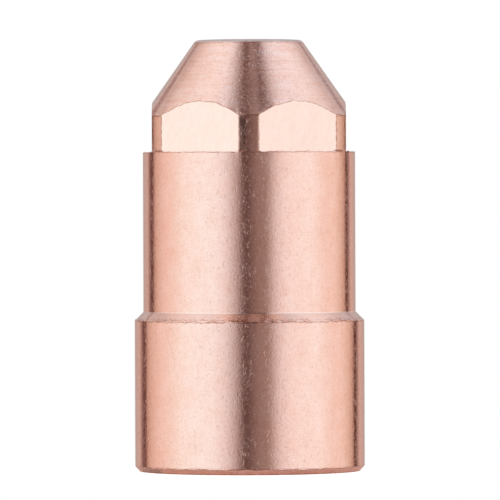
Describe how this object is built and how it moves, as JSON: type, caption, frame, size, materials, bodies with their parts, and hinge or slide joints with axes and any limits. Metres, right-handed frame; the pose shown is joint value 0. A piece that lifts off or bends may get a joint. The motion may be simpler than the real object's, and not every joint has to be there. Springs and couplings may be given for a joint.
{
  "type": "plasma torch electrode",
  "caption": "Turned copper plasma cutting electrode with a flat conical tip, spanner flats, a stepped rear collar and a hollow threaded back.",
  "frame": {"origin": "centre of the rear seat face, on the electrode's axis", "axes": "+Z along the axis from the rear seat face to the tip face; a corner between two spanner flats faces -Y"},
  "size_m": [0.0119, 0.0118, 0.0223],
  "materials": {
    "copper": "satin",
    "hafnium": "satin"
  },
  "bodies": {
    "root": {"electrode_body": "copper", "emitter_insert": "hafnium"}
  },
  "joints": []
}
